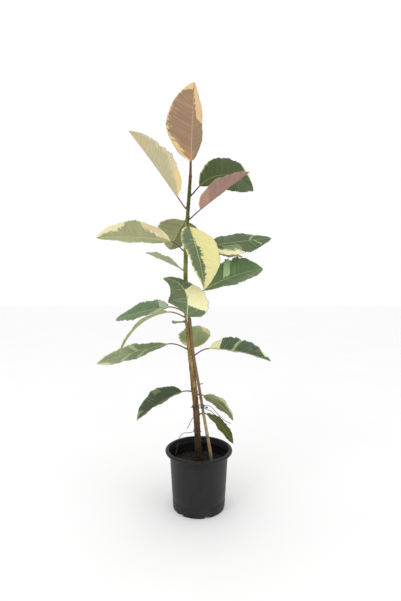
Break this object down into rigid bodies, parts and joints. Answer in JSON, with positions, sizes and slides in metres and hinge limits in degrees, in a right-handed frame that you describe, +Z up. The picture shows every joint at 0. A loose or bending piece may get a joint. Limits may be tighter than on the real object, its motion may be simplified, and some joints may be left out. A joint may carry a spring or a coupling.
{
  "type": "potted rubber plant",
  "caption": "Variegated rubber plant with one slim stem, a bamboo cane and large cream-edged leaves, standing in a round black nursery pot.",
  "frame": {"origin": "centre of the pot's flat foot, on the surface that it stands on", "axes": "+Z up along the stem, +X to the right and +Y to the back as the plant is seen from its front"},
  "size_m": [0.5117, 0.3256, 1.2316],
  "materials": {
    "nursery_plastic": "black polypropylene with a soft sheen, slightly paler at the rim",
    "potting_mix": "dark damp peat and bark with reddish bits",
    "bark": "red-brown bark low down, olive green skin above",
    "bamboo": "tan split-free bamboo with darker nodes",
    "wire": "thin dark tie wire",
    "leaf_green": "leathery, satin, dark green and grey green with cream margins and patches",
    "leaf_blush": "young leaf, its underside dusky pink to khaki with cream margins"
  },
  "bodies": {
    "root": {"nursery_pot": "nursery_plastic", "potting_mix": "potting_mix", "stem": "bark", "bamboo_cane": "bamboo", "tie_wire": "wire", "pot_wire": "wire", "leaf_top": "leaf_blush", "leaf_upper_left": "leaf_blush", "leaf_upper_right_back": "leaf_green", "leaf_upper_right_front": "leaf_blush", "leaf_left_cream": "leaf_green", "leaf_back_upper": "leaf_green", "leaf_front_hanging": "leaf_green", "leaf_right_upper": "leaf_green", "leaf_right_behind": "leaf_green", "leaf_right_middle": "leaf_green", "leaf_left_small": "leaf_green", "leaf_front_middle": "leaf_green", "leaf_left_arching": "leaf_green", "leaf_left_back": "leaf_green", "leaf_left_long": "leaf_green", "leaf_back_small": "leaf_green", "leaf_back_lower": "leaf_green", "leaf_right_long": "leaf_green", "leaf_low_left": "leaf_green", "leaf_low_right": "leaf_green", "leaf_low_drooping": "leaf_green"}
  },
  "joints": []
}
